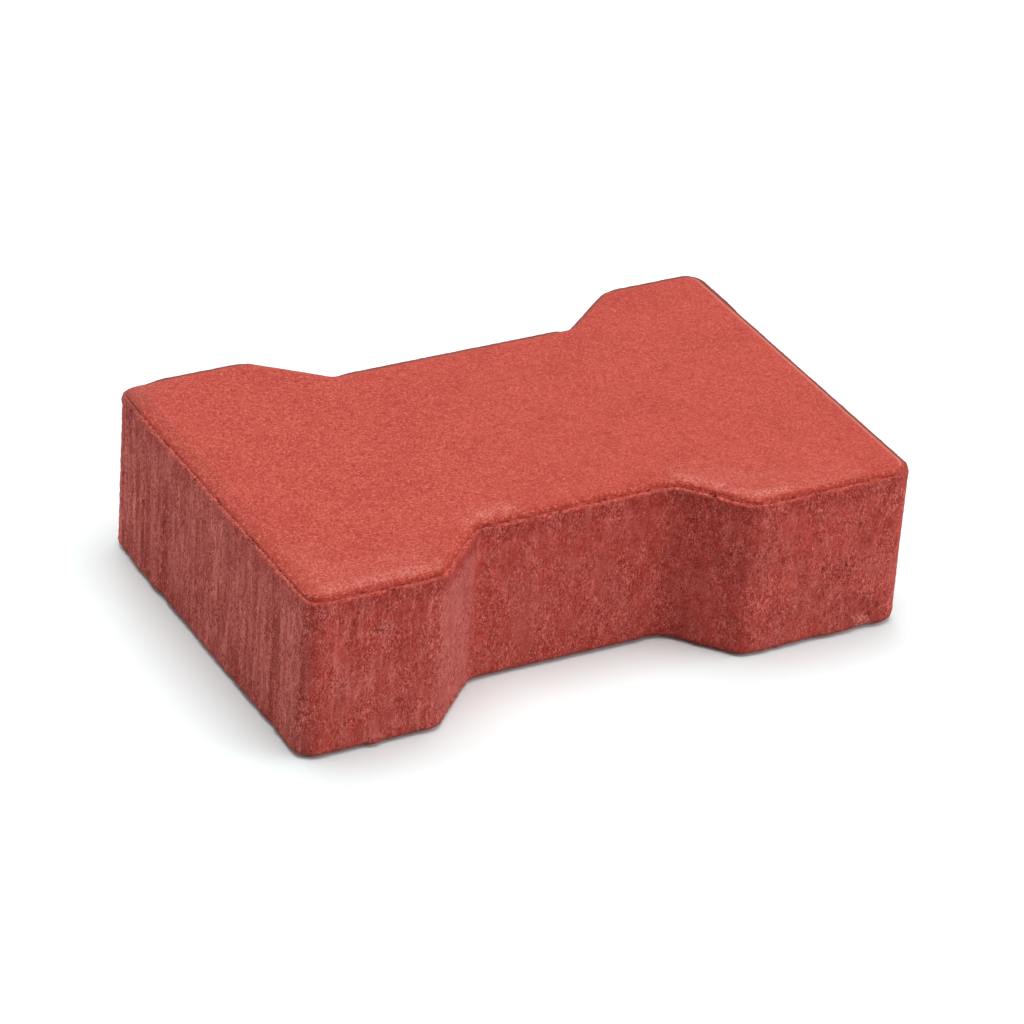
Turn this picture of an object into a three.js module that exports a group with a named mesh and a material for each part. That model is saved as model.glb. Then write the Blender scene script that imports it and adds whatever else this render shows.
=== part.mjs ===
// Interlocking concrete paving stone, pressed in one piece.
//
// Seen from above it is a double T: two wide heads joined by a waist, so that the
// heads of the neighbouring row lock into the notches on both long sides.
// Millimetres, +Z up. The origin is the middle of the underside and X runs along
// the length. The underside rests on the laying bed, the top is walked on.

import * as THREE from 'three';

// Overall size
const length = 225;
const width = 149;
const thickness = 61;

// Heads and notches. The right head is wider on the front side than on the back.
const leftHead = 49;
const leftSlant = 23;
const rightHeadFront = 62;
const rightSlantFront = 18.5;
const rightHeadBack = 38.5;
const rightSlantBack = 24;
const frontNotch = 22;
const backNotch = 19.5;

// Corner radii in plan. The notch on the back side is cut tighter than the front one.
const headRadius = 7;
const frontSlantRadius = 8;
const frontWaistRadius = 9;
const backSlantRadius = 6;
const backWaistRadius = 4;
const smallestRadius = 0.4;
const arcSteps = 7;

// Edge section, measured in from the outline and up from the underside
const bottomArris = 3;
const arrisSteps = 4;
const wallSetback = 0.2;
const lipFoot = 57.1;
const lipBulge = 57.7;
const lipCrest = 58.3;
const lipWidth = 1;
const ledgeHeight = 57.8;
const stepInset = 1.6;
const stepTop = 59.6;
const noseRadius = 0.4;
const noseSteps = 2;
const bevelWidth = 5;
const bevelSteps = 4;

// The twelve corners of the plan, anticlockwise from the front left one
function planCorners() {
  const right = length / 2;
  const left = -right;
  const back = width / 2;
  const front = -back;
  const corner = (x, y, radius) => ({ point: new THREE.Vector2(x, y), radius });
  return [
    corner(left, front, headRadius),
    corner(left + leftHead, front, frontSlantRadius),
    corner(left + leftHead + leftSlant, front + frontNotch, frontWaistRadius),
    corner(right - rightHeadFront - rightSlantFront, front + frontNotch, frontWaistRadius),
    corner(right - rightHeadFront, front, frontSlantRadius),
    corner(right, front, headRadius),
    corner(right, back, headRadius),
    corner(right - rightHeadBack, back, backSlantRadius),
    corner(right - rightHeadBack - rightSlantBack, back - backNotch, backWaistRadius),
    corner(left + leftHead + leftSlant, back - backNotch, backWaistRadius),
    corner(left + leftHead, back, backSlantRadius),
    corner(left, back, headRadius),
  ];
}

// One corner of the outline moved in by `inset`, as an arc between its two sides.
// An outward corner's arc gets tighter as it moves in, an inward corner's wider.
function cornerArc(before, corner, after, inset) {
  const incoming = corner.point.clone().sub(before.point).normalize();
  const outgoing = after.point.clone().sub(corner.point).normalize();
  const turn = Math.atan2(incoming.cross(outgoing), incoming.dot(outgoing));
  const side = Math.sign(turn);
  const radius = Math.max(corner.radius - side * inset, smallestRadius);

  // The moved corner lies on the line that halves the angle between the two sides
  const startNormal = new THREE.Vector2(incoming.y, -incoming.x);
  const bisector = startNormal.clone().rotateAround(new THREE.Vector2(), turn / 2);
  const reach = 1 / Math.cos(turn / 2);
  const centre = corner.point.clone().addScaledVector(bisector, -reach * (inset + side * radius));

  const points = [];
  for (let step = 0; step <= arcSteps; step += 1) {
    const spoke = startNormal.clone().rotateAround(new THREE.Vector2(), (turn * step) / arcSteps);
    points.push(centre.clone().addScaledVector(spoke, side * radius));
  }
  return points;
}

// The whole outline, moved in by `inset`
function outline(inset) {
  const corners = planCorners();
  const last = corners.length - 1;
  return corners.flatMap((corner, i) =>
    cornerArc(corners[i === 0 ? last : i - 1], corner, corners[i === last ? 0 : i + 1], inset),
  );
}

// The rounded lower edge, from the underside up to the wall, as [inset, height]
function lowerArris() {
  const points = [];
  for (let step = 0; step <= arrisSteps; step += 1) {
    const angle = (step / arrisSteps) * (Math.PI / 2);
    const inset = wallSetback + bottomArris * (1 - Math.sin(angle));
    points.push([inset, bottomArris * (1 - Math.cos(angle))]);
  }
  return points;
}

// The rounded nose on top of the pressed step
function stepNose() {
  const points = [];
  for (let step = 0; step <= noseSteps; step += 1) {
    const angle = (step / noseSteps) * (Math.PI / 2);
    const inset = stepInset + noseRadius * (1 - Math.cos(angle));
    points.push([inset, stepTop + noseRadius * Math.sin(angle)]);
  }
  return points;
}

// The bevel rises from the nose along a parabola and meets the top face level
function easedBevel() {
  const noseInset = stepInset + noseRadius;
  const rise = thickness - (stepTop + noseRadius);
  const points = [];
  for (let step = 1; step <= bevelSteps; step += 1) {
    const remaining = 1 - step / bevelSteps;
    points.push([noseInset + bevelWidth * (1 - remaining), thickness - rise * remaining ** 2]);
  }
  return points;
}

// The edge from the underside to the top face
function edgeSection() {
  return [
    ...lowerArris(),
    [wallSetback, lipFoot],
    [0, lipBulge],
    [lipWidth / 2, lipCrest],
    [lipWidth, ledgeHeight],
    [stepInset, ledgeHeight],
    ...stepNose(),
    ...easedBevel(),
  ];
}

// A closed body through rings of equal point counts, capped flat at both ends
function loft(rings) {
  const count = rings[0].length;
  const positions = rings.flat().flatMap((point) => point.toArray());
  const indices = [];
  for (let level = 0; level < rings.length - 1; level += 1) {
    for (let i = 0; i < count; i += 1) {
      const a = level * count + i;
      const b = level * count + ((i + 1) % count);
      indices.push(a, b, b + count, a, b + count, a + count);
    }
  }
  const flatten = (ring) => ring.map((point) => new THREE.Vector2(point.x, point.y));
  for (const [a, b, c] of THREE.ShapeUtils.triangulateShape(flatten(rings[0]), [])) {
    indices.push(a, c, b);
  }
  const lid = (rings.length - 1) * count;
  for (const [a, b, c] of THREE.ShapeUtils.triangulateShape(flatten(rings.at(-1)), [])) {
    indices.push(lid + a, lid + b, lid + c);
  }
  const geometry = new THREE.BufferGeometry();
  geometry.setAttribute('position', new THREE.Float32BufferAttribute(positions, 3));
  geometry.setIndex(indices);
  geometry.computeVertexNormals();
  return geometry;
}

function makeStone() {
  const rings = edgeSection().map(([inset, height]) =>
    outline(inset).map((point) => new THREE.Vector3(point.x, point.y, height)),
  );
  const concrete = new THREE.MeshStandardMaterial({
    color: 0xcb5c50,
    roughness: 0.95,
    metalness: 0,
  });
  const stone = new THREE.Mesh(loft(rings), concrete);
  stone.name = 'paving_stone';
  return stone;
}

const pavingStone = new THREE.Group();
pavingStone.add(makeStone());

export default pavingStone;
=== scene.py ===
"""A red interlocking concrete paving stone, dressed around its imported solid.

Metres, +Z up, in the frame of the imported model. The stone lies on a white studio floor.
The values that describe the stone are millimetres, and MM turns them to metres.
"""

import math

import bmesh
import bpy
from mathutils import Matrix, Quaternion, Vector


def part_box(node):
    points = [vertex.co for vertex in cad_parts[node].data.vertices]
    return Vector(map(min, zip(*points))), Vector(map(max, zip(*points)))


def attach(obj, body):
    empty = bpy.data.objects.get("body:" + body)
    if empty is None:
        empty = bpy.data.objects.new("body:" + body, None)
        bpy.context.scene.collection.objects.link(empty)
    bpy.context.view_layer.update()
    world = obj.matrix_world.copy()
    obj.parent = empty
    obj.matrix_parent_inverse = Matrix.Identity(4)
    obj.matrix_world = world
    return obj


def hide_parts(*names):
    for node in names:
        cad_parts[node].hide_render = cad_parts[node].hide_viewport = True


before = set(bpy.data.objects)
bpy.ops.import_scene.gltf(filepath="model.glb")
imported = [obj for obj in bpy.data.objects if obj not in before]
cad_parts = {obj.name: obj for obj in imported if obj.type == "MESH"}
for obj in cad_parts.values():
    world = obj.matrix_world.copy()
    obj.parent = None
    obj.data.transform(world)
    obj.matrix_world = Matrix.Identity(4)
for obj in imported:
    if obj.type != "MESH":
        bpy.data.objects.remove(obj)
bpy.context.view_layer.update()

MM = 0.001


# ---------------------------------------------------------------- small tools


def linear(hex_colour):
    """An sRGB hex colour as Blender's linear RGBA."""
    channels = []
    for start in (1, 3, 5):
        value = int(hex_colour[start:start + 2], 16) / 255
        channels.append(value / 12.92 if value <= 0.04045 else ((value + 0.055) / 1.055) ** 2.4)
    return (*channels, 1.0)


def add_node(tree, kind, settings=None, inputs=None):
    """Adds a node, sets its properties, and gives its sockets values or links."""
    node = tree.nodes.new(kind)
    for name, value in (settings or {}).items():
        setattr(node, name, value)
    for name, value in (inputs or {}).items():
        if isinstance(value, bpy.types.NodeSocket):
            tree.links.new(value, node.inputs[name])
        else:
            node.inputs[name].default_value = value
    return node


def select(piece, kind, wanted):
    """In edit mode, selects only the VERT, EDGE or FACE elements that `wanted` accepts."""
    bpy.ops.mesh.select_mode(type=kind)
    bpy.ops.mesh.select_all(action="DESELECT")
    mesh = bmesh.from_edit_mesh(piece.data)
    for element in {"VERT": mesh.verts, "EDGE": mesh.edges, "FACE": mesh.faces}[kind]:
        if wanted(element):
            element.select_set(True)
    mesh.select_flush_mode()
    bmesh.update_edit_mesh(piece.data)


def middle(edge):
    """The place halfway along an edge."""
    return (edge.verts[0].co + edge.verts[1].co) / 2


# ------------------------------------------------- the stone's shape, in mm

node_low, node_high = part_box("paving_stone")
LENGTH, WIDTH, THICKNESS = (side / MM for side in node_high - node_low)
LEFT, RIGHT = -LENGTH / 2, LENGTH / 2
FRONT, BACK = -WIDTH / 2, WIDTH / 2

LEFT_HEAD = 49
LEFT_SLANT = 23
RIGHT_HEAD_FRONT = 62
RIGHT_SLANT_FRONT = 18.5
RIGHT_HEAD_BACK = 38.5
RIGHT_SLANT_BACK = 24
FRONT_NOTCH = 22
BACK_NOTCH = 19.5
HEAD_RADIUS = 7
SLANT_RADIUS = 8
WAIST_RADIUS = 9
BACK_SLANT_RADIUS = 6
BACK_WAIST_RADIUS = 4

BOTTOM_ARRIS = 3
LIP_FOOT = 57.1
LIP_CREST = 58.3
LEDGE_HEIGHT = 57.8
STEP_TOP = 59.6
NOSE_HEIGHT = 60
# From the outline inwards, at the underside: how far in, and how far down
ARRIS_RINGS = ((0.4, 1.5), (1.1, 1.1), (1.5, 0.4))
# From the outline inwards, at the top: the flash lip and its ledge, the pressed step, its nose
LIP_RINGS = ((0, 0.6), (0.5, 0.6), (0.5, -0.5), (0.6, 0))
STEP_RINGS = ((0, 0.6), (0, 0.6), (0, 0.6))
NOSE_RINGS = ((0.12, 0.28), (0.28, 0.12))
# The bevel climbs from the nose into the walked face
BEVEL_WIDTH = 5
# The piece's own attribute that holds each point's level distance inwards from the nose, in mm
FROM_NOSE = "from_nose"

# The mesh is cut into cells about this long, so that the relief has grains to move
CELL = 1.06
HEAD_CELLS = 10
TURN_CELLS = 6
BED_SHARE = 0.25
# Closer than this, two vertices of a seam are the same one
SEAM = 0.3


def plan_corners():
    """The corners of the double T, anticlockwise from the front left: x, y, radius and cells."""
    head_end = LEFT + LEFT_HEAD
    waist_start = head_end + LEFT_SLANT
    slant_front = RIGHT - RIGHT_HEAD_FRONT
    slant_back = RIGHT - RIGHT_HEAD_BACK
    return (
        (LEFT, FRONT, HEAD_RADIUS, HEAD_CELLS),
        (head_end, FRONT, SLANT_RADIUS, TURN_CELLS),
        (waist_start, FRONT + FRONT_NOTCH, WAIST_RADIUS, TURN_CELLS),
        (slant_front - RIGHT_SLANT_FRONT, FRONT + FRONT_NOTCH, WAIST_RADIUS, TURN_CELLS),
        (slant_front, FRONT, SLANT_RADIUS, TURN_CELLS),
        (RIGHT, FRONT, HEAD_RADIUS, HEAD_CELLS),
        (RIGHT, BACK, HEAD_RADIUS, HEAD_CELLS),
        (slant_back, BACK, BACK_SLANT_RADIUS, TURN_CELLS),
        (slant_back - RIGHT_SLANT_BACK, BACK - BACK_NOTCH, BACK_WAIST_RADIUS, TURN_CELLS),
        (waist_start, BACK - BACK_NOTCH, BACK_WAIST_RADIUS, TURN_CELLS),
        (head_end, BACK, BACK_SLANT_RADIUS, TURN_CELLS),
        (LEFT, BACK, HEAD_RADIUS, HEAD_CELLS),
    )


def lay_out_plan(corners):
    """A flat face in the stone's plan, with rounded corners, as a new object."""
    bpy.ops.object.select_all(action="DESELECT")
    bpy.ops.mesh.primitive_grid_add(x_subdivisions=5, y_subdivisions=1, size=1)
    stone = bpy.context.object
    stone.name = "pressed_paving_stone"
    bpy.ops.object.mode_set(mode="EDIT")

    # The grid has two rows of six vertices, both from left to right
    by_row = corners[:6] + corners[:5:-1]
    for number, (x, y, *_) in enumerate(by_row):
        select(stone, "VERT", lambda vertex: vertex.index == number)
        start = next(v.co.copy() for v in bmesh.from_edit_mesh(stone.data).verts if v.select)
        bpy.ops.transform.translate(value=Vector((x * MM, y * MM, 0)) - start)
    bpy.ops.mesh.select_all(action="SELECT")
    bpy.ops.mesh.dissolve_faces()

    for number, (x, y, radius, cells) in enumerate(corners):
        place = Vector((x, y))
        before = place - Vector(corners[number - 1][:2])
        after = Vector(corners[(number + 1) % len(corners)][:2]) - place
        select(stone, "VERT", lambda vertex: (vertex.co.xy - place * MM).length < SEAM * MM)
        bpy.ops.mesh.bevel(
            affect="VERTICES",
            offset=radius * math.tan(before.angle(after) / 2) * MM,
            segments=cells,
            clamp_overlap=False,
        )
    return stone


def divide_sides(stone, corners):
    """Cuts each straight side and the one across the stone into as many cells.

    Gives the number of cells along an end.
    """
    centres = []
    for number, (x, y, *_) in enumerate(corners):
        after = corners[(number + 1) % len(corners)]
        centres.append(Vector((x + after[0], y + after[1])) / 2 * MM)
    lengths = [0] * len(corners)
    middles = [None] * len(corners)
    for edge in bmesh.from_edit_mesh(stone.data).edges:
        if edge.calc_length() > 2 * HEAD_RADIUS * MM:
            centre = middle(edge)
            number = min(range(len(centres)), key=lambda n: (centres[n] - centre.xy).length)
            lengths[number] = edge.calc_length() / MM
            middles[number] = centre
    end = 5
    for number, centre in enumerate(middles):
        # Side 10 faces side 0, and so on. The two ends, 5 and 11, are alike.
        across = lengths[2 * end - number]
        halves = round(max(lengths[number], across) / CELL / 2)
        select(stone, "EDGE", lambda edge: (middle(edge) - centre).length < SEAM * MM)
        bpy.ops.mesh.subdivide(number_cuts=1, ngon=True)
        bpy.ops.mesh.subdivide(number_cuts=halves - 1, ngon=True)
    return 2 * round(lengths[end] / CELL / 2)


def press_edge(rings):
    """Carries the selected flat face inwards and onwards, ring by ring."""
    for inwards, onwards in rings:
        if inwards:
            bpy.ops.mesh.inset(thickness=inwards * MM, depth=onwards * MM)
        else:
            bpy.ops.mesh.extrude_region_move(TRANSFORM_OT_translate={"value": (0, 0, onwards * MM)})


def fill_with_cells(stone, upwards, rows):
    """Replaces the wide face that looks up, or down, by cells in columns from front to back."""
    select(stone, "FACE", lambda face: len(face.verts) > rows and (face.normal.z > 0) == upwards)
    bpy.ops.mesh.delete(type="ONLY_FACE")
    mesh = bmesh.from_edit_mesh(stone.data)
    end = max(edge.verts[0].co.x for edge in mesh.edges if edge.is_boundary) - 0.01 * MM
    select(stone, "EDGE", lambda edge: edge.is_boundary and abs(middle(edge).x) < end)
    bpy.ops.mesh.bridge_edge_loops(number_cuts=rows - 1, interpolation="LINEAR")
    select(stone, "EDGE", lambda edge: edge.is_boundary)
    bpy.ops.mesh.remove_doubles(threshold=SEAM * MM)


def model_stone():
    """The clean pressed shape: plan, walls, flash lip, step and bevel."""
    corners = plan_corners()
    stone = lay_out_plan(corners)
    rows = divide_sides(stone, corners)
    bpy.ops.mesh.select_all(action="SELECT")
    bpy.ops.transform.translate(value=(0, 0, BOTTOM_ARRIS * MM))
    wall = LIP_FOOT - BOTTOM_ARRIS
    bpy.ops.mesh.select_mode(type="FACE")
    bpy.ops.mesh.extrude_region_move(TRANSFORM_OT_translate={"value": (0, 0, wall * MM)})
    press_edge(LIP_RINGS + STEP_RINGS + NOSE_RINGS)
    select(stone, "FACE", lambda face: face.normal.z < -0.9)
    press_edge(ARRIS_RINGS)
    select(stone, "EDGE", lambda edge: abs(edge.verts[0].co.z - edge.verts[1].co.z) > 0.9 * wall * MM)
    bpy.ops.mesh.subdivide(number_cuts=round(wall / CELL) - 1)
    fill_with_cells(stone, True, rows)
    fill_with_cells(stone, False, rows)
    bpy.ops.mesh.normals_make_consistent(inside=False)
    bpy.ops.object.mode_set(mode="OBJECT")
    return stone


# ------------------------------------------------ patterns in shape and colour


def mottle(tree, place, size, levels, heights=(0.0, 1.0), stretch=1.0, detail=2.0, warp=0.0, seed=0):
    """Irregular patches about `size` mm wide and `stretch` times as tall, `warp` twists them.

    The noise is cut between two levels and gives a value between two heights.
    """
    shift = (17.3 * seed, 5.9 * seed, 29.1 * seed)
    scaled = add_node(
        tree, "ShaderNodeVectorMath", {"operation": "MULTIPLY_ADD"},
        {0: place, 1: (1 / size, 1 / size, 1 / (size * stretch)), 2: shift},
    )
    noise = add_node(
        tree, "ShaderNodeTexNoise", {},
        {"Vector": scaled.outputs[0], "Scale": 1.0, "Detail": detail, "Distortion": warp},
    )
    return add_node(
        tree, "ShaderNodeMapRange", {"interpolation_type": "SMOOTHSTEP"},
        {"Value": noise.outputs[0], "From Min": levels[0], "From Max": levels[1],
         "To Min": heights[0], "To Max": heights[1]},
    ).outputs[0]


def zone(tree, value, low, high, softness):
    """1 where `value` is between low and high, easing to 0 over `softness` on both sides."""
    rise = add_node(
        tree, "ShaderNodeMapRange", {"interpolation_type": "SMOOTHSTEP"},
        {"Value": value, "From Min": low - softness, "From Max": low},
    )
    fall = add_node(
        tree, "ShaderNodeMapRange", {"interpolation_type": "SMOOTHSTEP"},
        {"Value": value, "From Min": high, "From Max": high + softness,
         "To Min": rise.outputs[0], "To Max": 0.0},
    )
    return fall.outputs[0]


def combined(tree, operation, first, *others):
    """All the values taken together by one operation, such as ADD or MULTIPLY."""
    result = first
    for other in others:
        result = add_node(tree, "ShaderNodeMath", {"operation": operation}, {0: result, 1: other}).outputs[0]
    return result


def place_and_axes(tree, position):
    """The place in millimetres, and its x, y and z."""
    place = add_node(tree, "ShaderNodeVectorMath", {"operation": "SCALE"}, {0: position, "Scale": 1 / MM})
    axes = add_node(tree, "ShaderNodeSeparateXYZ", {}, {0: place.outputs[0]})
    return place.outputs[0], axes.outputs


def patch(tree, place, spot, reach):
    """1 at a spot on the surface, easing to 0 at `reach` mm from it."""
    away = add_node(tree, "ShaderNodeVectorMath", {"operation": "DISTANCE"}, {0: place, 1: spot})
    return zone(tree, away.outputs["Value"], -1, reach * 0.4, reach * 0.6)


# The open end of a zone lies here, past every side of the stone
FAR = 200
# Along y, the front sides reach back to the first of these and the back sides start at the second
FRONT_UNTIL = -30
BACK_FROM = 47
# Along x, the flash of the back starts here, past the worn left corner
FLASH_FROM = LEFT + 6.5


def front_sides(tree, x, y):
    """1 on the front sides and the left end, where the edge is raggeder than at the back."""
    front = combined(
        tree, "MULTIPLY", zone(tree, y, -FAR, FRONT_UNTIL, 10), zone(tree, x, -FAR, RIGHT - HEAD_RADIUS, 3),
    )
    return combined(tree, "MAXIMUM", front, zone(tree, x, -FAR, LEFT + 4, 3))


def front_slant(tree, x, y, start, end):
    """1 on the slanted front side between two places along x."""
    return combined(tree, "MULTIPLY", zone(tree, x, start, end, 3), zone(tree, y, -FAR, 0, 1))


def left_end(tree, x):
    """1 on the left end."""
    return zone(tree, x, -FAR, LEFT + 0.6, 2.6)


def right_end(tree, x, y):
    """1 on the right end, easing out round its front corner."""
    return combined(tree, "MULTIPLY", zone(tree, x, RIGHT - 3, FAR, 1.5), zone(tree, y, FRONT + 3, FAR, 3))


def back_sides(tree, x, y):
    """1 along the back, less on its slants, and 0 at its worn left corner."""
    left, right = LEFT + LEFT_HEAD, RIGHT - RIGHT_HEAD_BACK
    left_slant = combined(tree, "MULTIPLY", zone(tree, x, left, left + LEFT_SLANT, 6), 0.4)
    right_slant = combined(tree, "MULTIPLY", zone(tree, x, right - RIGHT_SLANT_BACK, right, 6), 0.7)
    return combined(
        tree, "MULTIPLY", zone(tree, y, BACK_FROM, FAR, 5), zone(tree, x, FLASH_FROM, FAR, 4),
        combined(tree, "SUBTRACT", 1, left_slant, right_slant),
    )


def crumbling(tree, x, y):
    """How much the edge crumbles: fully on the front sides, a little at the back."""
    return combined(tree, "ADD", combined(tree, "MULTIPLY", front_sides(tree, x, y), 0.8), 0.2)


def open_texture(tree, place):
    """Where the wall tore open as the mould was drawn off. Elsewhere the paste smeared shut."""
    return mottle(tree, place, 13, (0.40, 0.60), stretch=1.4, detail=3, seed=1)


def curls(tree, place, size, seed):
    """Short winding lines, about `size` mm across, in patches."""
    winding = mottle(tree, place, size, (0, 1), detail=1, warp=1.2, seed=seed)
    patchy = mottle(tree, place, 3 * size, (0.40, 0.60), stretch=1.5, seed=seed + 1)
    return combined(tree, "MULTIPLY", zone(tree, winding, 0.49, 0.51, 0.06), patchy)


def pores(tree, place):
    """Holes between the grains of the wall."""
    return mottle(tree, place, 1.5, (0.61, 0.71), stretch=1.2, detail=2, warp=0.6, seed=2)


# Upright marks that the mould dragged down the left end: place along it, width and height
END_MARKS = (
    (51, 2.2, 0.7), (46, 5.5, -0.55), (40, 5, 0.5), (32, 6.5, -0.9),
    (-44, 2.2, 0.8), (-52, 8, -0.8), (-64, 12, 0.4),
)
# They reach up to this height and fade out over so many millimetres more
MARKS_TOP = 38
MARKS_FADE = 14


def end_marks(tree, x, y, z):
    """Strength of the drag marks: ridges above 0 and furrows below."""
    marks = []
    for along, width, height in END_MARKS:
        across = zone(tree, y, along - width / 5, along + width / 5, width / 3)
        marks.append(combined(tree, "MULTIPLY", across, height))
    below_top = zone(tree, z, -FAR, MARKS_TOP, MARKS_FADE)
    return combined(tree, "MULTIPLY", combined(tree, "ADD", *marks), left_end(tree, x), below_top)


# The chip at the foot of the right head, and the burr under the left one
CHIP_START = 95.5
CHIP_END = 102
CHIP_TOP = 14
CHIP_LEAN = 0.33
CHIP_DEPTH = 0.8
CHIP_PIT = (102.7, -74.3, 9)
BURR = (-86.5, -74.5, 1.5)
BURR_REACH = 3.6
BURR_HEIGHT = 0.8


def chip(tree, place, x, y, z):
    """1 inside the chip, which leans to the left, and the dark line at its left border, where shade is
    painted.
    """
    ragged = combined(tree, "ADD", z, mottle(tree, place, 3, (0.2, 0.8), (-2, 2), seed=43))
    leaning = combined(
        tree, "ADD", x, combined(tree, "MULTIPLY", z, CHIP_LEAN),
        mottle(tree, place, 4, (0.2, 0.8), (-1.2, 1.2), seed=44),
    )
    low = combined(
        tree, "MULTIPLY", zone(tree, ragged, -FAR, CHIP_TOP, 1.5), zone(tree, y, -FAR, FRONT + 4.5, 2),
    )
    inside = combined(tree, "MULTIPLY", zone(tree, leaning, CHIP_START, CHIP_END, 0.8), low)
    shaded_border = combined(tree, "MULTIPLY", zone(tree, leaning, CHIP_START - 0.6, CHIP_START - 0.2, 0.4), low)
    return inside, shaded_border


def wall_relief(tree, place, x, y, z):
    """How far the walls stand out: set back a little behind the lip, dragged and pitted."""
    opened = open_texture(tree, place)
    pits = combined(tree, "MULTIPLY", pores(tree, place), combined(tree, "ADD", opened, 0.3), -0.24)
    cast = combined(
        tree, "ADD",
        mottle(tree, place, 3, (0.2, 0.8), (-0.10, 0.10), stretch=10, seed=3),
        mottle(tree, place, 10, (0.2, 0.8), (-0.20, 0.20), stretch=3, seed=4),
        mottle(tree, place, 2.2, (0.2, 0.8), (-0.18, 0.18), detail=3, warp=0.5, seed=5),
        pits, -0.15,
    )
    # The right end came out of the mould more evenly
    at_right = zone(tree, x, RIGHT - 5, FAR, 4)
    depth = combined(tree, "SUBTRACT", 1, combined(tree, "MULTIPLY", at_right, 0.6))
    cast = combined(tree, "MULTIPLY", cast, depth, zone(tree, z, 0.8, LIP_FOOT - 1.2, 1.0))
    wear = mottle(tree, place, 7, (0.2, 0.6), (0.25, 0.5), stretch=5, seed=6)
    dragged = combined(tree, "MULTIPLY", end_marks(tree, x, y, z), wear)
    return combined(tree, "ADD", cast, dragged)


def foot_relief(tree, place, x, y, z):
    """How far the lower edge stands out: flared over its rounding, torn under the right head."""
    at_foot = zone(tree, z, -FAR, 2.6, 4)
    torn = zone(tree, x, RIGHT - RIGHT_HEAD_FRONT + 5.5, FAR, 6)
    slight = mottle(tree, place, 4, (0.25, 0.75), (-0.15, 0.25), detail=3, seed=7)
    rough = mottle(tree, place, 5, (0.3, 0.7), (-0.5, 0.35), detail=3, seed=15)
    edge = combined(tree, "ADD", slight, combined(tree, "MULTIPLY", rough, torn))
    more_at_left = combined(tree, "ADD", combined(tree, "MULTIPLY", left_end(tree, x), 0.7), 1)
    under = combined(tree, "MULTIPLY", zone(tree, z, 0.3, 0.6, 0.5), -0.2)
    flare = combined(tree, "MULTIPLY", zone(tree, z, 1.8, 3.2, 1.4), 0.35)
    flared = combined(
        tree, "MULTIPLY", combined(tree, "ADD", under, flare), more_at_left,
        zone(tree, y, -FAR, BACK_FROM + 1, 18), zone(tree, x, -FAR, RIGHT - 9.5, 6),
    )
    return combined(
        tree, "ADD", combined(tree, "MULTIPLY", edge, at_foot), flared,
        combined(tree, "MULTIPLY", chip(tree, place, x, y, z)[0], -CHIP_DEPTH),
        combined(tree, "MULTIPLY", patch(tree, place, BURR, BURR_REACH), BURR_HEIGHT),
    )


def lip_relief(tree, place, x, y, z):
    """How far the flash lip and the step stand out: crumbly, with bites broken away."""
    bites = combined(
        tree, "ADD",
        mottle(tree, place, 1.6, (0.30, 0.70), (-0.34, 0.22), detail=2, seed=8),
        mottle(tree, place, 9, (0.30, 0.70), (-0.22, 0.10), seed=9),
    )
    on_lip = zone(tree, z, LIP_FOOT - 0.2, LIP_CREST + 0.2, 0.3)
    rough = mottle(tree, place, 1.9, (0.2, 0.8), (-0.18, 0.18), seed=10)
    return combined(
        tree, "ADD",
        combined(tree, "MULTIPLY", bites, crumbling(tree, x, y), on_lip),
        combined(tree, "MULTIPLY", rough, zone(tree, z, LIP_CREST + 0.3, STEP_TOP - 0.3, 0.5)),
    )


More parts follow.
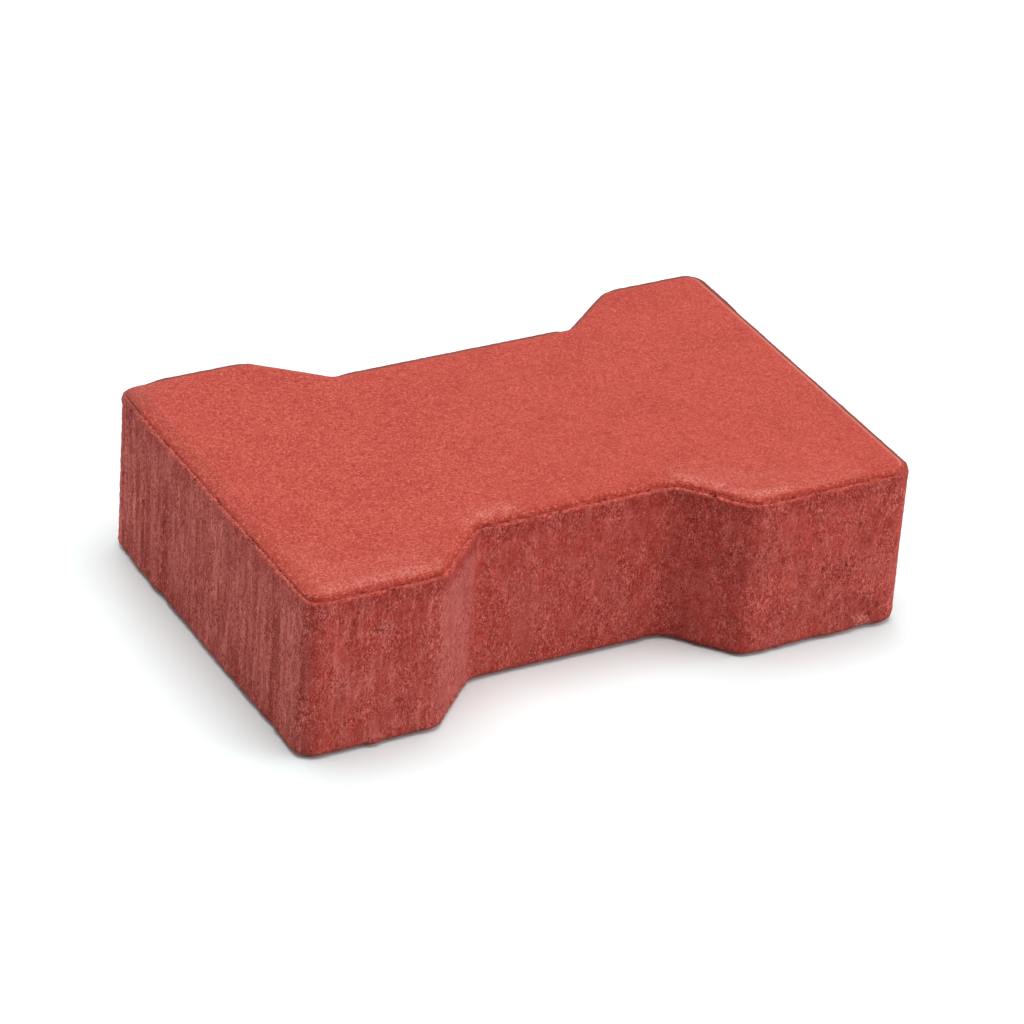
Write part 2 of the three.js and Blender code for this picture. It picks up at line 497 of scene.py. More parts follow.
def bevel_group():
    """Geometry nodes that raise the flat top in a bevel, by its distance from the nose."""
    tree = bpy.data.node_groups.new("top_bevel", "GeometryNodeTree")
    tree.interface.new_socket("Geometry", in_out="INPUT", socket_type="NodeSocketGeometry")
    tree.interface.new_socket("Geometry", in_out="OUTPUT", socket_type="NodeSocketGeometry")
    source = add_node(tree, "NodeGroupInput")
    position = add_node(tree, "GeometryNodeInputPosition")
    z = place_and_axes(tree, position.outputs[0])[1]["Z"]
    at_top = add_node(tree, "ShaderNodeMath", {"operation": "GREATER_THAN"}, {0: z, 1: NOSE_HEIGHT - 0.02})
    # Up there only the edge of the nose is bent, by more than 0.3 radians
    turn = add_node(tree, "GeometryNodeInputMeshEdgeAngle")
    bent = add_node(tree, "ShaderNodeMath", {"operation": "GREATER_THAN"}, {0: turn.outputs[0], 1: 0.3})
    nose = add_node(
        tree, "GeometryNodeSeparateGeometry", {"domain": "EDGE"},
        {0: source.outputs[0], 1: combined(tree, "MULTIPLY", at_top.outputs[0], bent.outputs[0])},
    )
    away = add_node(tree, "GeometryNodeProximity", {"target_element": "EDGES"}, {0: nose.outputs[0]})
    left_over = add_node(
        tree, "ShaderNodeMapRange", {},
        {"Value": away.outputs["Distance"], "From Max": BEVEL_WIDTH * MM, "To Min": 1.0, "To Max": 0.0},
    ).outputs[0]
    rise = add_node(
        tree, "ShaderNodeMath", {"operation": "SUBTRACT"},
        {0: 1.0, 1: combined(tree, "MULTIPLY", left_over, left_over)},
    )
    height = combined(tree, "MULTIPLY", rise.outputs[0], (THICKNESS - NOSE_HEIGHT) * MM)
    lift = add_node(tree, "ShaderNodeCombineXYZ", {}, {2: height})
    raised = add_node(
        tree, "GeometryNodeSetPosition", {},
        {"Geometry": source.outputs[0], "Selection": at_top.outputs[0], "Offset": lift.outputs[0]},
    )
    reach = combined(tree, "DIVIDE", away.outputs["Distance"], MM)
    below = combined(tree, "SUBTRACT", NOSE_HEIGHT, z)
    squared = combined(tree, "SUBTRACT", combined(tree, "POWER", reach, 2), combined(tree, "POWER", below, 2))
    level = combined(tree, "POWER", combined(tree, "MAXIMUM", squared, 0), 0.5)
    sign = combined(tree, "SUBTRACT", combined(tree, "MULTIPLY", at_top.outputs[0], 2), 1)
    inwards = combined(tree, "MULTIPLY", level, sign)
    marked = add_node(
        tree, "GeometryNodeStoreNamedAttribute", {"domain": "POINT", "data_type": "FLOAT"},
        {"Geometry": raised.outputs[0], "Name": FROM_NOSE, "Value": inwards},
    )
    add_node(tree, "NodeGroupOutput", {}, {0: marked.outputs[0]})
    return tree


# How much higher the flash lip stands along the back, nearly as high as the nose, and at the right end
BACK_FLASH = 1.35
END_FLASH = 0.9
# Crumbs lie in the groove between the lip and the step, and more of them where the lip is high
LEDGE_FILL = 0.35
FLASH_FILL = 0.45
# The walked face is worn down at its back left corner, the flash there by most of its height
WORN_CORNER = (-109, 71, 60)
WORN_REACH = 15
WORN_DEPTH = 0.4
WORN_FLASH = 0.7
WORN_FILL = 0.5


def lip_height(tree, place, x, y, z):
    """How far the flash lip and the groove behind it stand up: ragged in front, even at the back."""
    on_crest = zone(tree, z, LIP_CREST - 0.1, LIP_CREST + 0.1, 0.1)
    ragged = mottle(tree, place, 2.4, (0.25, 0.75), (-0.32, 0.42), detail=2, seed=16)
    flash = combined(
        tree, "MAXIMUM",
        combined(tree, "MULTIPLY", back_sides(tree, x, y), BACK_FLASH),
        combined(tree, "MULTIPLY", right_end(tree, x, y), END_FLASH),
    )
    worn = patch(tree, place, WORN_CORNER, WORN_REACH)
    remaining = combined(tree, "SUBTRACT", 1, combined(tree, "MULTIPLY", worn, WORN_FLASH))
    flash = combined(tree, "MULTIPLY", flash, remaining)
    lip = combined(tree, "ADD", combined(tree, "MULTIPLY", ragged, crumbling(tree, x, y)), flash)
    in_groove = zone(tree, z, LEDGE_HEIGHT - 0.02, LEDGE_HEIGHT + 0.02, 0.05)
    fill = combined(
        tree, "ADD", combined(tree, "MULTIPLY", worn, WORN_FILL),
        combined(tree, "MULTIPLY", flash, FLASH_FILL), LEDGE_FILL,
    )
    return combined(
        tree, "ADD", combined(tree, "MULTIPLY", lip, on_crest), combined(tree, "MULTIPLY", fill, in_groove),
    )


def relief_group():
    """Geometry nodes that give the clean shape its cast and dragged surface."""
    tree = bpy.data.node_groups.new("concrete_relief", "GeometryNodeTree")
    tree.interface.new_socket("Geometry", in_out="INPUT", socket_type="NodeSocketGeometry")
    tree.interface.new_socket("Geometry", in_out="OUTPUT", socket_type="NodeSocketGeometry")
    source = add_node(tree, "NodeGroupInput")
    position = add_node(tree, "GeometryNodeInputPosition")
    normal = add_node(tree, "GeometryNodeInputNormal")
    place, (x, y, z) = place_and_axes(tree, position.outputs[0])

    level = add_node(
        tree, "ShaderNodeVectorMath", {"operation": "MULTIPLY"}, {0: normal.outputs[0], 1: (1, 1, 0)},
    )
    outwards = add_node(tree, "ShaderNodeVectorMath", {"operation": "NORMALIZE"}, {0: level.outputs[0]})
    reach = combined(
        tree, "ADD",
        wall_relief(tree, place, x, y, z), foot_relief(tree, place, x, y, z),
        lip_relief(tree, place, x, y, z),
    )
    # The flat faces only move up and down
    upright = zone(tree, z, 0.1, STEP_TOP + 0.1, 0.1)
    sideways = add_node(
        tree, "ShaderNodeVectorMath", {"operation": "SCALE"},
        {0: outwards.outputs[0], "Scale": combined(tree, "MULTIPLY", reach, upright)},
    )

    # The walked face: a sandy grain with a few pores, very slightly uneven
    top = combined(
        tree, "ADD",
        mottle(tree, place, 1.5, (0.2, 0.8), (-0.08, 0.08), detail=2, seed=11),
        mottle(tree, place, 14, (0.3, 0.7), (-0.05, 0.03), seed=12),
        mottle(tree, place, 2.0, (0.68, 0.76), (0.0, -0.25), seed=13),
    )
    top = combined(tree, "MULTIPLY", top, zone(tree, z, NOSE_HEIGHT - 0.1, FAR, 0.2))
    # The bed face: shallow hollows, so that it still stands flat on its high spots
    bed = mottle(tree, place, 3, (0.45, 0.8), (0.06, 0.5), detail=3, seed=14)
    bed = combined(tree, "MULTIPLY", bed, zone(tree, z, -FAR, 0.1, 0.1))
    worn = combined(
        tree, "MULTIPLY", patch(tree, place, WORN_CORNER, WORN_REACH),
        zone(tree, z, NOSE_HEIGHT, FAR, NOSE_HEIGHT - LIP_CREST), -WORN_DEPTH,
    )
    upwards = combined(tree, "ADD", top, bed, worn, lip_height(tree, place, x, y, z))
    moved = add_node(
        tree, "ShaderNodeVectorMath", {"operation": "ADD"},
        {0: sideways.outputs[0], 1: add_node(tree, "ShaderNodeCombineXYZ", {}, {2: upwards}).outputs[0]},
    )
    offset = add_node(
        tree, "ShaderNodeVectorMath", {"operation": "SCALE"}, {0: moved.outputs[0], "Scale": MM},
    )
    shaped = add_node(
        tree, "GeometryNodeSetPosition", {},
        {"Geometry": source.outputs[0], "Offset": offset.outputs[0]},
    )
    add_node(tree, "NodeGroupOutput", {}, {0: shaped.outputs[0]})
    return tree


def finish_surface(stone):
    """Applies the bevel and the relief, then thins the bed face, which needs no fine cells."""
    for name, group in (("bevel", bevel_group()), ("relief", relief_group())):
        modifier = stone.modifiers.new(name, "NODES")
        modifier.node_group = group
        bpy.ops.object.modifier_apply(modifier=modifier.name)

    bed = stone.vertex_groups.new(name="bed")
    bed_height = BOTTOM_ARRIS * MM / 4
    under = [v.index for v in stone.data.vertices if v.co.z < bed_height]
    bed.add(under, 1.0, "REPLACE")
    thin = stone.modifiers.new("thin_bed", "DECIMATE")
    thin.vertex_group = bed.name
    thin.ratio = 1 - (1 - BED_SHARE) * len(under) / len(stone.data.vertices)
    bpy.ops.object.modifier_apply(modifier=thin.name)
    bpy.ops.object.shade_smooth()


# ------------------------------------------------------------------ materials

TOP_RED = "#b54b40"
TOP_DARK = "#993128"
TOP_LIGHT = "#d66e5f"
# Painted shade for the bevel of the left end
BEVEL_SHADE = "#a34b40"
# Dark red of pores and cracks, also used for painted shade at the chip and along the lower edge
PORE_AND_SHADE_RED = "#6b241e"
# Pale pink of rubbed grains, also used for a painted highlight inside the right end's rim
SCUFF_AND_HIGHLIGHT_PINK = "#dc9185"
WALL_RED = "#b13c31"
WALL_HAZE = "#ae564f"
WALL_LIGHT = "#d8756b"
WALL_DARK = "#8c271f"
END_HAZE = "#ba625d"
# Dark red of furrows and dark patches, also used for painted shade at the foot of the left end
FURROW_AND_SHADE_RED = "#8f2f28"
SHADE_RED = "#9c2b23"
CHIP_RED = "#aa453c"
STEP_RED = "#b24337"
# Painted light: brighter reds that lift the step's foot and its shaded sides out of their shade
STEP_FOOT_PAINTED_LIGHT = "#d86354"
STEP_END_PAINTED_LIGHT = "#fc8672"
LIP_RED = "#b54f44"
LIP_END_RED = "#9c4e47"
# Painted shade in brown: the crest of the high flash, the right end's rim, the front right corner and the
# worn corner
SHADE_BROWN = "#87473f"
SMEAR_GREY = "#8f5f59"

# Stretches of the front bevel that are rubbed pale, from left to right, and how strongly
RUBBED = ((-103, -66, 0.9), (-42, -27, 1.0), (36, 64, 1.0), (70, 90, 0.4))
# The bevel of the left end meets the flat top in a soft crease, this far in
CREASE = 7.5

# The two front slants, along x, the left one up to where it turns into the waist
LEFT_SLANT_START = LEFT + LEFT_HEAD
LEFT_SLANT_END = LEFT_SLANT_START + LEFT_SLANT - 4
RIGHT_SLANT_END = RIGHT - RIGHT_HEAD_FRONT
RIGHT_SLANT_START = RIGHT_SLANT_END - RIGHT_SLANT_FRONT

# The waist of the front, along x, from the middle of the left slant to the start of the right one
WAIST_START = -54
WAIST_END = 34

# Stretches of the walls that are dark and open, each with its reach, and a smear of grey paste
DARK_PATCHES = (((84, -74.5, 27), 9), ((51, -73, 36), 15), ((96, -74.5, 9), 7))
GREY_SMEAR = (-84.5, -74.5, 44)
GREY_REACH = 4


def layer(tree, under, colour, amount):
    """`colour` over `under`, by an amount from 0 to 1."""
    mix = add_node(tree, "ShaderNodeMix", {"data_type": "RGBA"}, {0: amount, 6: under, 7: linear(colour)})
    return mix.outputs[2]


def sandy_top(tree, place, x, y):
    """Even sandy red with tiny pores, and painted shade on the bevel of the left end."""
    shades = mottle(tree, place, 24, (0.4, 0.7), (0, 0.25), seed=23)
    colour = layer(tree, linear(TOP_RED), TOP_DARK, shades)
    left_bevel = zone(tree, x, -FAR, LEFT + CREASE - 1, 1)
    painted_bevel_shade = combined(tree, "ADD", combined(tree, "MULTIPLY", zone(tree, y, 5, FAR, 10), 0.40), 0.30)
    # Painted shade darkens the bevel of the left end, more towards its back
    colour = layer(tree, colour, BEVEL_SHADE, combined(tree, "MULTIPLY", left_bevel, painted_bevel_shade))
    crease = combined(tree, "MULTIPLY", zone(tree, x, LEFT + CREASE, LEFT + CREASE + 0.5, 0.5), 0.12)
    colour = layer(tree, colour, TOP_LIGHT, crease)

    dark_grain = mottle(tree, place, 0.8, (0.42, 0.68), (0, 0.75), detail=2, warp=0.5, seed=21)
    pale_grain = mottle(tree, place, 0.7, (0.45, 0.72), (0, 0.6), detail=2, warp=0.5, seed=22)
    sandier = combined(tree, "ADD", combined(tree, "MULTIPLY", zone(tree, x, -FAR, -50, 70), 0.30), 0.95)
    colour = layer(tree, colour, TOP_DARK, combined(tree, "MULTIPLY", dark_grain, sandier))
    colour = layer(tree, colour, TOP_LIGHT, combined(tree, "MULTIPLY", pale_grain, sandier))
    colour = layer(tree, colour, TOP_DARK, mottle(tree, place, 2.4, (0.50, 0.72), (0, 0.4), seed=33))
    return layer(tree, colour, PORE_AND_SHADE_RED, mottle(tree, place, 1.0, (0.69, 0.77), (0, 0.7), seed=24))


def rubbed_bevel(tree, place, x, y, inwards):
    """How far the front bevel is rubbed down to pale grains: most at the nose, less further in."""
    further_in = combined(tree, "MULTIPLY", zone(tree, inwards, 0, 13, 4), 0.35)
    stretches = [
        combined(tree, "MULTIPLY", zone(tree, x, start, end, 6), strength) for start, end, strength in RUBBED
    ]
    return combined(
        tree, "MULTIPLY", combined(tree, "MAXIMUM", zone(tree, inwards, 0, 3, 4), further_in),
        zone(tree, y, -FAR, -44, 4), combined(tree, "ADD", *stretches),
        mottle(tree, place, 5, (0.30, 0.66), (0.12, 0.50), detail=3, seed=26),
        mottle(tree, place, 0.75, (0.42, 0.60), (0.1, 1.1), detail=2, warp=0.5, seed=27),
    )


def walked_face_colour(tree, place, x, y, inwards):
    """The sandy top with its rubbed front bevel and worn corner. At the right a thin dark rim of painted
    shade.
    """
    colour = sandy_top(tree, place, x, y)
    colour = layer(tree, colour, SCUFF_AND_HIGHLIGHT_PINK, rubbed_bevel(tree, place, x, y, inwards))
    greyed = combined(tree, "MULTIPLY", patch(tree, place, WORN_CORNER, WORN_REACH), 0.15)
    colour = layer(tree, colour, SMEAR_GREY, greyed)
    # Inside the dark rim of the right end, which is painted shade, runs a pale line, which is a painted
    # highlight
    along_right = zone(tree, x, RIGHT - 4.5, FAR, 0.5)
    painted_highlight_line = combined(tree, "MULTIPLY", zone(tree, inwards, 0.4, 0.9, 1.4), along_right, 0.4)
    rim_shade = combined(tree, "MULTIPLY", zone(tree, inwards, -FAR, 0, 0.3), right_end(tree, x, y), 0.7)
    return layer(tree, layer(tree, colour, SCUFF_AND_HIGHLIGHT_PINK, painted_highlight_line), SHADE_BROWN, rim_shade)


def smeared_paste(tree, place, x, y, z):
    """The wall's red, under a grey-pink haze where its paste smeared shut."""
    at_left = left_end(tree, x)
    left_slant = front_slant(tree, x, y, LEFT_SLANT_START, LEFT_SLANT_END)
    closed = combined(
        tree, "ADD",
        combined(tree, "MULTIPLY", open_texture(tree, place), -0.4),
        combined(tree, "MULTIPLY", at_left, 0.5),
        combined(tree, "MULTIPLY", left_slant, 0.7),
        combined(tree, "MULTIPLY", zone(tree, z, 44, FAR, 14), -0.3),
    )
    haze = add_node(tree, "ShaderNodeMath", {"operation": "ADD", "use_clamp": True}, {0: closed, 1: 0.43})
    colour = layer(tree, linear(WALL_RED), WALL_HAZE, haze.outputs[0])
    most_closed = combined(tree, "MULTIPLY", combined(tree, "ADD", at_left, left_slant), 0.5)
    return layer(tree, colour, END_HAZE, most_closed)


def dragged(tree, colour, place, x, y, z):
    """The left end: a dark foot of painted shade, fine drag marks all over, and the broad ones."""
    at_left = left_end(tree, x)
    foot_shade = combined(tree, "MULTIPLY", zone(tree, z, -FAR, 3, 8), at_left, 0.5)
    fine_dark = mottle(tree, place, 3.4, (0.46, 0.62), (0, 0.95), stretch=7, detail=3, seed=37)
    fine_pale = mottle(tree, place, 2.8, (0.48, 0.66), (0, 1.0), stretch=9, detail=3, seed=39)
    # Painted shade darkens the foot of the left end
    colour = layer(tree, colour, FURROW_AND_SHADE_RED, foot_shade)
    colour = layer(tree, colour, FURROW_AND_SHADE_RED, combined(tree, "MULTIPLY", fine_dark, at_left))
    colour = layer(tree, colour, WALL_LIGHT, combined(tree, "MULTIPLY", fine_pale, at_left))

    marks = end_marks(tree, x, y, z)
    clamped = {"operation": "MULTIPLY", "use_clamp": True}
    ridge = add_node(tree, "ShaderNodeMath", clamped, {0: marks, 1: 0.9})
    furrow = add_node(tree, "ShaderNodeMath", clamped, {0: marks, 1: -1.4})
    return layer(tree, layer(tree, colour, WALL_LIGHT, ridge.outputs[0]), FURROW_AND_SHADE_RED, furrow.outputs[0])


def dark_patches(tree, place):
    """1 and more in the dark open stretches of the walls."""
    return combined(tree, "ADD", *(patch(tree, place, spot, reach) for spot, reach in DARK_PATCHES))


def shaded(tree, colour, place, x, z):
    """Dark red close under the lip, partly bare red and partly painted shade, dark patches, and a smear of
    grey paste.
    """
    under_lip = combined(
        tree, "MULTIPLY", zone(tree, z, LIP_FOOT - 3, FAR, 3.5),
        combined(tree, "SUBTRACT", 0.95, combined(tree, "MULTIPLY", left_end(tree, x), 0.55)),
    )
    # Painted shade darkens the wall close under the lip
    colour = layer(tree, colour, SHADE_RED, under_lip)
    colour = layer(tree, colour, FURROW_AND_SHADE_RED, combined(tree, "MULTIPLY", dark_patches(tree, place), 0.3))
    smear = combined(tree, "MULTIPLY", patch(tree, place, GREY_SMEAR, GREY_REACH), 0.5)
    return layer(tree, colour, SMEAR_GREY, smear)


def clumped(tree, colour, place, x):
    """Broad clouds, upright draw marks, and clumps that are strongest on the heads."""
    left_head = combined(tree, "MULTIPLY", zone(tree, x, -FAR, LEFT_SLANT_START - 4.5, 6), 1.2)
    drawn = combined(tree, "ADD", left_head, 0.7)
    on_waist = combined(tree, "MULTIPLY", zone(tree, x, WAIST_START, WAIST_END, 8), 0.5)
    on_heads = combined(tree, "SUBTRACT", 1.1, on_waist, combined(tree, "MULTIPLY", left_head, 0.4))
    clouds = mottle(tree, place, 8, (0.45, 0.75), (0, 0.40), stretch=2, detail=3, seed=34)
    drawn_dark = mottle(tree, place, 1.6, (0.50, 0.70), (0, 0.30), stretch=7, detail=3, seed=38)
    drawn_pale = mottle(tree, place, 1.8, (0.50, 0.72), (0, 0.30), stretch=7, detail=3, seed=3)
    dark_clumps = mottle(tree, place, 2.6, (0.50, 0.70), (0, 0.36), stretch=1.6, detail=3, warp=0.6, seed=40)
    pale_clumps = mottle(tree, place, 3.4, (0.52, 0.72), (0, 0.32), stretch=2.2, detail=3, warp=0.6, seed=41)
    colour = layer(tree, colour, WALL_DARK, clouds)
    colour = layer(tree, colour, WALL_DARK, combined(tree, "MULTIPLY", drawn_dark, drawn))
    colour = layer(tree, colour, WALL_LIGHT, combined(tree, "MULTIPLY", drawn_pale, drawn))
    colour = layer(tree, colour, WALL_DARK, combined(tree, "MULTIPLY", dark_clumps, on_heads))
    return layer(tree, colour, WALL_LIGHT, combined(tree, "MULTIPLY", pale_clumps, on_heads))


def grained(tree, colour, place, x, y):
    """Dark and pale grains, most where the wall is open, and cracks that wind between them."""
    grainy = combined(
        tree, "ADD",
        combined(tree, "MULTIPLY", open_texture(tree, place), 0.35),
        combined(tree, "MULTIPLY", left_end(tree, x), 0.15),
        mottle(tree, place, 6, (0.35, 0.65), (0.35, 1.05), stretch=1.5, detail=3, seed=49),
    )
    right_slant = front_slant(tree, x, y, RIGHT_SLANT_START, RIGHT_SLANT_END)
    fewer = combined(tree, "SUBTRACT", 1, combined(tree, "MULTIPLY", right_slant, 0.12))
    dark_grain = mottle(tree, place, 0.7, (0.46, 0.62), (0, 1.0), stretch=1.8, detail=2, warp=1.2, seed=28)
    pale_grain = mottle(tree, place, 0.6, (0.48, 0.66), (0, 0.65), stretch=2, detail=2, warp=1.2, seed=29)
    colour = layer(tree, colour, WALL_DARK, combined(tree, "MULTIPLY", dark_grain, grainy))
    colour = layer(tree, colour, WALL_LIGHT, combined(tree, "MULTIPLY", pale_grain, grainy, fewer))

    right_head = combined(tree, "MULTIPLY", zone(tree, x, WAIST_END, FAR, 8), 0.2)
    more_at_right = combined(tree, "ADD", right_head, 0.65)
    cracks = combined(tree, "MULTIPLY", curls(tree, place, 1.3, 35), more_at_right)
    worn_rims = combined(tree, "MULTIPLY", curls(tree, place, 1.1, 47), 0.5)
    return layer(tree, layer(tree, colour, PORE_AND_SHADE_RED, cracks), WALL_LIGHT, worn_rims)


def chipped(tree, colour, place, x, y, z):
    """The chip, plain red above and with fresh grains at its foot, a dark line of painted shade at its left
    border and a dark pit, and painted shade along the lower edge.
    """
    inside, shaded_border = chip(tree, place, x, y, z)
    plain = combined(tree, "MULTIPLY", inside, zone(tree, z, 7, FAR, 3), 0.5)
    fresh = mottle(tree, place, 0.8, (0.45, 0.62), (0, 0.7), seed=45)
    fresh = combined(tree, "MULTIPLY", fresh, inside, zone(tree, z, -FAR, 4, 4))
    # The dark line at the chip's left border is painted shade
    dark_spot = combined(tree, "MAXIMUM", shaded_border, patch(tree, place, CHIP_PIT, 1.6))
    broken = mottle(tree, place, 2, (0.3, 0.6), (0.2, 0.8), seed=51)
    colour = layer(tree, colour, CHIP_RED, plain)
    colour = layer(tree, colour, SCUFF_AND_HIGHLIGHT_PINK, fresh)
    colour = layer(tree, colour, PORE_AND_SHADE_RED, combined(tree, "MULTIPLY", dark_spot, broken))
    # Painted shade darkens the wall along the lower edge, where it meets the floor
    contact_shade = combined(tree, "MULTIPLY", zone(tree, z, -FAR, 0.8, 3), 0.5)
    return layer(tree, colour, PORE_AND_SHADE_RED, contact_shade)


def wall_colour(tree, place, x, y, z):
    """Smeared paste with drag marks, clumps and grains, the chip, and open pores over all."""
    colour = smeared_paste(tree, place, x, y, z)
    colour = dragged(tree, colour, place, x, y, z)
    colour = shaded(tree, colour, place, x, z)
    colour = clumped(tree, colour, place, x)
    colour = grained(tree, colour, place, x, y)
    colour = chipped(tree, colour, place, x, y, z)
    holes = combined(tree, "ADD", open_texture(tree, place), 0.3, dark_patches(tree, place))
    return layer(tree, colour, PORE_AND_SHADE_RED, combined(tree, "MULTIPLY", pores(tree, place), holes, 0.5))


def step_and_lip(tree, x, y, z, inwards):
    """Raw red of the step and the lip. Painted light makes the step brighter at its foot and on the shaded
    sides.
    """
    at_left = left_end(tree, x)
    right_slant = front_slant(tree, x, y, RIGHT_SLANT_START, RIGHT_SLANT_END)
    shaded_sides = combined(tree, "ADD", at_left, combined(tree, "MULTIPLY", right_slant, 0.8))
    step_foot = zone(tree, z, -FAR, LIP_CREST, STEP_TOP - LIP_CREST)
    left_step_light = combined(tree, "MULTIPLY", zone(tree, inwards, -0.5, -0.2, 0.15), at_left, 0.35)
    colour = layer(tree, linear(STEP_RED), STEP_FOOT_PAINTED_LIGHT, step_foot)
    # Painted light brightens the step's foot, most on the left end and the right slant
    colour = layer(tree, colour, STEP_END_PAINTED_LIGHT, combined(tree, "MULTIPLY", step_foot, shaded_sides))
    colour = layer(tree, colour, STEP_END_PAINTED_LIGHT, left_step_light)

    on_lip = zone(tree, inwards, -FAR, -1.2, 0.25)
    on_ledge = combined(tree, "MULTIPLY", zone(tree, inwards, -FAR, -0.8, 0.2), 0.5)
    past_step = combined(tree, "MULTIPLY", combined(tree, "MAXIMUM", on_lip, on_ledge), at_left)
    return layer(tree, layer(tree, colour, LIP_RED, on_lip), LIP_END_RED, past_step)


def brown_rim_shade(tree, colour, place, x, y, z, inwards):
    """Painted shade in brown on the worn corner, at the front right corner, and on the crest of the high
    flash.
    """
    worn = combined(tree, "MULTIPLY", patch(tree, place, WORN_CORNER, 1.3 * WORN_REACH), 0.55)
    front_right_shade = combined(
        tree, "MULTIPLY", zone(tree, x, RIGHT - 6.5, FAR, 4), zone(tree, inwards, -FAR, -1, 1), 0.5,
    )
    at_right = combined(tree, "MULTIPLY", right_end(tree, x, y), zone(tree, y, FRONT + 8.5, FAR, 5))
    flash = combined(
        tree, "MULTIPLY", combined(tree, "MAXIMUM", zone(tree, y, BACK_FROM, FAR, 5), at_right),
        zone(tree, x, FLASH_FROM, FAR, 4),
        zone(tree, z, LIP_CREST - 0.4, FAR, 0.1), zone(tree, inwards, -1.6, FAR, 0.25), 0.8,
    )
    for amount in (worn, front_right_shade, flash):
        colour = layer(tree, colour, SHADE_BROWN, amount)
    return colour


def edge_colour(tree, place, x, y, z, inwards):
    """The step and the lip with bright broken grains, a nose darkened by painted shade, and brown rims of
    painted shade.
    """
    colour = step_and_lip(tree, x, y, z, inwards)
    left_slant = front_slant(tree, x, y, LEFT_SLANT_START, LEFT_SLANT_END)
    nose_shade = combined(tree, "MULTIPLY", zone(tree, inwards, -0.2, 0.7, 0.3), 0.3)
    pale_grain = mottle(tree, place, 0.9, (0.45, 0.66), (0, 0.7), detail=2, seed=30)
    dark_grain = mottle(tree, place, 1.0, (0.45, 0.66), (0, 0.75), detail=2, seed=36)
    # Painted shade darkens the edge of the left slant and the nose of the step
    colour = layer(tree, colour, TOP_DARK, combined(tree, "MULTIPLY", left_slant, 0.2))
    colour = layer(tree, colour, TOP_DARK, nose_shade)
    colour = layer(tree, layer(tree, colour, TOP_LIGHT, pale_grain), TOP_DARK, dark_grain)
    return brown_rim_shade(tree, colour, place, x, y, z, inwards)


def pigmented_concrete():
    """Pigmented semi-dry pressed concrete, straight from the mould.

    Iron oxide red goes right through. It is matt and sandy, with a pink haze of smeared
    paste, open pores that look darker, and pale grains rubbed bare along the front edges.
    Sand of 0.2 to 0.5 mm is too fine to show, so it is drawn about 0.6 to 1.3 mm wide.
    """
    material = bpy.data.materials.new("pigmented_pressed_concrete")
    material.use_nodes = True
    tree = material.node_tree
    tree.nodes.clear()
    coordinates = add_node(tree, "ShaderNodeTexCoord")
    place, (x, y, z) = place_and_axes(tree, coordinates.outputs["Object"])

    attribute = add_node(tree, "ShaderNodeAttribute", {"attribute_name": FROM_NOSE})
    inwards = attribute.outputs["Fac"]
    on_top = zone(tree, inwards, 0.95, FAR, 0.6)
    ragged = combined(tree, "ADD", z, mottle(tree, place, 1.6, (0.3, 0.7), (-0.35, 0.35), seed=46))
    on_wall = zone(tree, ragged, -FAR, LIP_FOOT + 0.75, 0.25)
    edge = edge_colour(tree, place, x, y, z, inwards)
    top = walked_face_colour(tree, place, x, y, inwards)
    wall = wall_colour(tree, place, x, y, z)
    upper = add_node(tree, "ShaderNodeMix", {"data_type": "RGBA"}, {0: on_top, 6: edge, 7: top})
    colour = add_node(
        tree, "ShaderNodeMix", {"data_type": "RGBA"}, {0: on_wall, 6: upper.outputs[2], 7: wall},
    ).outputs[2]

    # Grain too fine for the mesh: sand, which the walls show coarser than the walked face
    sand = mottle(tree, place, 0.55, (0.2, 0.8), (0, 0.12 * MM), detail=2, seed=31)
    coarse = mottle(tree, place, 1.3, (0.2, 0.8), (0, 0.20 * MM), detail=2, seed=32)
    share = combined(tree, "ADD", combined(tree, "MULTIPLY", on_wall, 0.6), 0.4)
    coarse = combined(tree, "MULTIPLY", coarse, share)
    bump = add_node(
        tree, "ShaderNodeBump", {},
        {"Strength": 1.0, "Distance": 1.0, "Height": combined(tree, "ADD", sand, coarse)},
    )
    shader = add_node(
        tree, "ShaderNodeBsdfPrincipled", {},
        {"Base Color": colour, "Roughness": 0.92, "Specular IOR Level": 0.2, "Normal": bump.outputs[0]},
    )
    add_node(tree, "ShaderNodeOutputMaterial", {}, {0: shader.outputs[0]})
    return material


# ------------------------------------------------------------- floor and light


def studio_floor():
    """Seamless white card under the stone, matt."""
    bpy.ops.object.select_all(action="DESELECT")
    bpy.ops.mesh.primitive_plane_add(size=8)
    floor = bpy.context.object
    floor.name = "studio_floor"
    card = bpy.data.materials.new("white_matt_card")
    card.use_nodes = True
    shader = card.node_tree.nodes["Principled BSDF"]
    shader.inputs["Base Color"].default_value = linear("#f4fdfd")
    shader.inputs["Roughness"].default_value = 1.0
    shader.inputs["Specular IOR Level"].default_value = 0.0
    floor.data.materials.append(card)


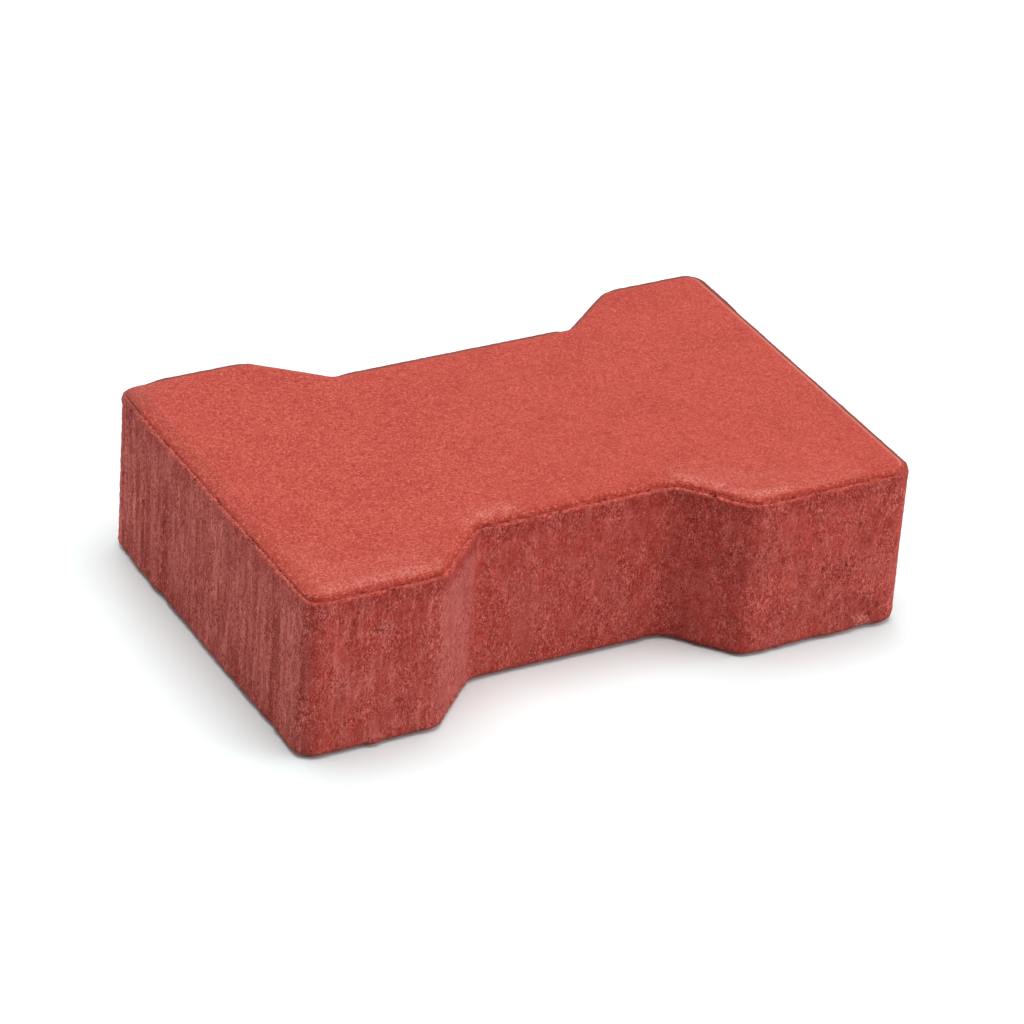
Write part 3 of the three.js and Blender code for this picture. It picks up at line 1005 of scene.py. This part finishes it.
def towards(azimuth, elevation):
    """The direction from the stone to a place at that azimuth (0 in front, 90 right) and height."""
    turn, rise = math.radians(azimuth), math.radians(elevation)
    return Vector((math.sin(turn) * math.cos(rise), -math.cos(turn) * math.cos(rise), math.sin(rise)))


def soft_box(name, azimuth, elevation, power):
    """A square soft box that looks at the stone from a direction in degrees."""
    direction = towards(azimuth, elevation)
    light = bpy.data.lights.new(name, "AREA")
    light.shape = "SQUARE"
    light.size = BOX_SIZE
    light.energy = power
    box = bpy.data.objects.new(name, light)
    bpy.context.scene.collection.objects.link(box)
    box.location = direction * BOX_DISTANCE
    box.rotation_mode = "QUATERNION"
    box.rotation_quaternion = (-direction).to_track_quat("-Z", "Y")


# Where the camera stands, from the stone, and the point that it looks at
CAMERA_AZIMUTH = -29.986
CAMERA_ELEVATION = 30.657
CAMERA_ROLL = 4.114
CAMERA_DISTANCE = 1.6657
CAMERA_LENS = 172.13
CAMERA_AIM = Vector((6.79, 9.32, 20.35)) * MM

# Soft boxes: azimuth, elevation and watts
BOX_SIZE = 1.3
BOX_DISTANCE = 1.6
BOXES = (
    ("overhead_box", 0, 89.9, 23.5),
    ("right_box", 60, 25, 12.3),
    ("back_box", 180, 25, 12.1),
    ("left_back_box", -120, 25, 5.1),
    ("front_box", 10, 25, 5.8),
    ("high_back_box", 140, 60, 3.1),
)


def camera_and_light():
    """Camera, lights and a plain tone curve."""
    data = bpy.data.cameras.new("product_camera")
    data.lens = CAMERA_LENS
    data.sensor_width = 36
    camera = bpy.data.objects.new("product_camera", data)
    bpy.context.scene.collection.objects.link(camera)
    back = towards(CAMERA_AZIMUTH, CAMERA_ELEVATION)
    camera.location = CAMERA_AIM + back * CAMERA_DISTANCE
    camera.rotation_mode = "QUATERNION"
    roll = Quaternion((0, 0, 1), math.radians(CAMERA_ROLL))
    camera.rotation_quaternion = (-back).to_track_quat("-Z", "Y") @ roll
    bpy.context.scene.camera = camera

    for name, azimuth, elevation, power in BOXES:
        soft_box(name, azimuth, elevation, power)
    bpy.context.scene.view_settings.view_transform = "Standard"


stone = model_stone()
finish_surface(stone)
stone.data.materials.append(pigmented_concrete())
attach(stone, "root")
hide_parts("paving_stone")
studio_floor()
camera_and_light()
